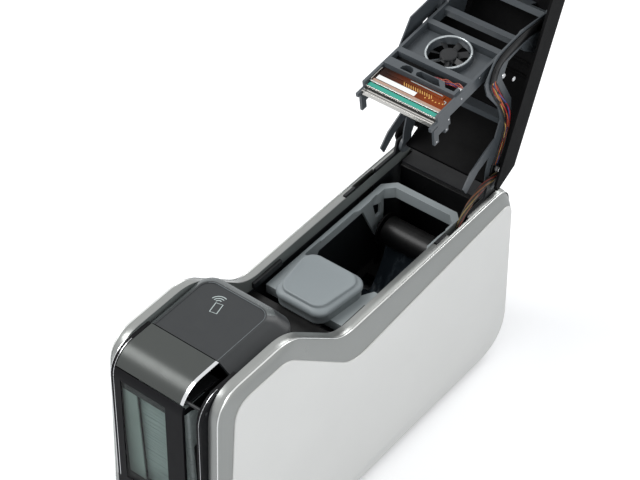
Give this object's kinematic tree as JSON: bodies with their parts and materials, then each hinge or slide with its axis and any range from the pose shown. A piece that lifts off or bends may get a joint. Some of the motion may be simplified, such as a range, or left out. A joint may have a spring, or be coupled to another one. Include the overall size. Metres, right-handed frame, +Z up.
{
  "type": "id card printer",
  "caption": "Upright slim card printer with a tall front hopper, its rear-hinged lid open with the print head swung up, and a lift-out ribbon cartridge seated in the bay",
  "frame": {"origin": "on the desk plane, under the middle of the box round the printer with its lid open", "axes": "X across the body, +Y from the front hopper to the rear, +Z up"},
  "size_m": [0.128, 0.5502, 0.4554],
  "materials": {
    "alloy": "extruded",
    "board_brown": "brown flexible circuit on board",
    "board_green": "coated circuit board",
    "brass_gear": "machined",
    "card_white": "smooth card stock",
    "cart_grey": "fine grain grey",
    "case_dark": "moulded charcoal grain",
    "case_silver": "satin silver paint",
    "ceramic_teal": "glazed heater strip",
    "chassis_dark": "dark coat",
    "chrome_trim": "bright trim",
    "film_dark": "thin coated film",
    "flap_dark": "satin graphite",
    "frame_grey": "grey coat",
    "gear_cream": "natural acetal",
    "handle_grey": "soft grey",
    "hood_dark": "spark-eroded charcoal",
    "inner_black": "smooth black",
    "motor_steel": "drawn can",
    "panel_black": "dark display window",
    "panel_white": "fine pearl silver-white",
    "roller_blue": "tacky cleaning roller",
    "rubber_black": "soft rubber",
    "smoke_window": "smoked clear plastic",
    "steel_bright": "ground",
    "wires": "coloured wire jackets"
  },
  "bodies": {
    "body": {"base_tray": "case_dark", "rubber_feet": "rubber_black", "left_trim": "case_silver", "right_trim": "case_silver", "left_panel": "panel_white", "right_panel": "panel_white", "left_chassis": "chassis_dark", "right_chassis": "chassis_dark", "bay_liner": "inner_black", "rear_cover": "case_dark", "hood": "hood_dark", "front_frame": "flap_dark", "hopper_window": "smoke_window", "card_magazine": "inner_black", "card_stack": "card_white", "output_tray": "case_dark", "drive_belt": "rubber_black", "drive_motor": "motor_steel", "ribbon_motor": "motor_steel", "main_board": "board_green", "power_inlet": "inner_black", "data_ports": "steel_bright", "body_harness": "wires", "case_screws": "steel_bright", "flap_pin": "steel_bright"},
    "lid": {"lid_shell": "case_dark", "lid_frame": "frame_grey", "hinge_pins": "steel_bright", "control_panel": "panel_black", "latch_hooks": "chassis_dark", "lid_harness": "wires"},
    "head": {"head_carrier": "frame_grey", "head_board": "board_brown", "heater_strip": "ceramic_teal", "head_sink": "alloy"},
    "fan": {"fan_rotor": "inner_black"},
    "menu_key_body": {"menu_key": "hood_dark"},
    "select_key_body": {"select_key": "hood_dark"},
    "latch_key_body": {"latch_button": "hood_dark"},
    "flap": {"hopper_flap": "flap_dark", "flap_strip": "chrome_trim"},
    "weight": {"card_weight": "case_dark"},
    "pick": {"pick_sleeve": "rubber_black", "pick_shaft": "steel_bright"},
    "front_roller": {"front_sleeve": "rubber_black", "front_shaft": "steel_bright"},
    "mid_roller": {"mid_sleeve": "rubber_black", "mid_shaft": "steel_bright"},
    "platen": {"platen_sleeve": "rubber_black", "platen_shaft": "steel_bright"},
    "cleaner": {"cleaning_roller": "roller_blue"},
    "pinch": {"pinch_roller": "rubber_black"},
    "pinion": {"motor_pinion": "brass_gear"},
    "ribbon_drive": {"ribbon_gear": "gear_cream"},
    "cartridge": {"cartridge_frame": "cart_grey", "cartridge_handle": "handle_grey", "ribbon_film": "film_dark"},
    "supply": {"supply_spool": "inner_black"},
    "takeup": {"takeup_spool": "inner_black"},
    "power_key_body": {"power_button": "hood_dark"}
  },
  "joints": [
    {"name": "lid_hinge", "type": "hinge", "parent": "body", "child": "lid", "pos_m": [0, 0.12688, 0.205], "axis": [1, 0, 0], "range_deg": [0, 114]},
    {"name": "head_float", "type": "hinge", "parent": "lid", "child": "head", "pos_m": [0, 0.17921, 0.33775], "axis": [1, 0, 0], "range_deg": [-1.5, 0], "stiffness_Nm_per_rad": 0.6, "springref_deg": 30},
    {"name": "fan_spin", "type": "hinge", "parent": "head", "child": "fan", "pos_m": [0, 0.12551, 0.33211], "axis": [0, -0.1045, 0.9945], "continuous": true},
    {"name": "menu_key_press", "type": "slide", "parent": "lid", "child": "menu_key_body", "axis": [0, -0.9135, 0.4067], "range_m": [0, 0.0012], "stiffness_N_per_m": 60, "springref_m": -0.005},
    {"name": "select_key_press", "type": "slide", "parent": "lid", "child": "select_key_body", "axis": [0, -0.9135, 0.4067], "range_m": [0, 0.0012], "stiffness_N_per_m": 60, "springref_m": -0.005},
    {"name": "latch_press", "type": "slide", "parent": "lid", "child": "latch_key_body", "axis": [0, -0.9135, 0.4067], "range_m": [0, 0.002], "stiffness_N_per_m": 80, "springref_m": -0.006},
    {"name": "flap_hinge", "type": "hinge", "parent": "body", "child": "flap", "pos_m": [0, -0.25842, 0.2377], "axis": [1, 0, 0], "range_deg": [0, 100]},
    {"name": "weight_lift", "type": "slide", "parent": "body", "child": "weight", "axis": [0, 0, 1], "range_m": [0, 0.008]},
    {"name": "platen_turn", "type": "hinge", "parent": "body", "child": "platen", "pos_m": [0, 0.03968, 0.0845], "axis": [1, 0, 0], "continuous": true},
    {"name": "pick_turn", "type": "hinge", "parent": "body", "child": "pick", "pos_m": [0, -0.19012, 0.0845], "axis": [1, 0, 0], "continuous": true},
    {"name": "front_turn", "type": "hinge", "parent": "body", "child": "front_roller", "pos_m": [0, -0.13512, 0.0845], "axis": [1, 0, 0], "continuous": true},
    {"name": "mid_turn", "type": "hinge", "parent": "body", "child": "mid_roller", "pos_m": [0, -0.02012, 0.0845], "axis": [1, 0, 0], "continuous": true},
    {"name": "pinion_turn", "type": "hinge", "parent": "body", "child": "pinion", "pos_m": [0, 0.05768, 0.0631], "axis": [1, 0, 0], "continuous": true},
    {"name": "cleaner_turn", "type": "hinge", "parent": "body", "child": "cleaner", "pos_m": [0, -0.08512, 0.0845], "axis": [1, 0, 0], "continuous": true},
    {"name": "pinch_turn", "type": "hinge", "parent": "body", "child": "pinch", "pos_m": [0, -0.13512, 0.0984], "axis": [1, 0, 0], "continuous": true},
    {"name": "cartridge_lift", "type": "slide", "parent": "body", "child": "cartridge", "axis": [0, 0, -1], "range_m": [-0.11, 0]},
    {"name": "takeup_turn", "type": "hinge", "parent": "cartridge", "child": "takeup", "pos_m": [0, -0.03712, 0.14], "axis": [1, 0, 0], "continuous": true},
    {"name": "supply_turn", "type": "hinge", "parent": "cartridge", "child": "supply", "pos_m": [0, 0.08088, 0.14], "axis": [1, 0, 0], "continuous": true},
    {"name": "ribbon_turn", "type": "hinge", "parent": "body", "child": "ribbon_drive", "pos_m": [0, -0.03712, 0.114], "axis": [1, 0, 0], "continuous": true},
    {"name": "power_press", "type": "slide", "parent": "body", "child": "power_key_body", "axis": [0, -1, 0], "range_m": [0, 0.0025], "stiffness_N_per_m": 80, "springref_m": -0.006}
  ],
  "couplings": [
    {"joint": "pick_turn", "follows": "platen_turn", "ratio": 1},
    {"joint": "front_turn", "follows": "platen_turn", "ratio": 1},
    {"joint": "mid_turn", "follows": "platen_turn", "ratio": 1},
    {"joint": "pinion_turn", "follows": "platen_turn", "ratio": -4},
    {"joint": "ribbon_turn", "follows": "takeup_turn", "ratio": -1.6}
  ]
}
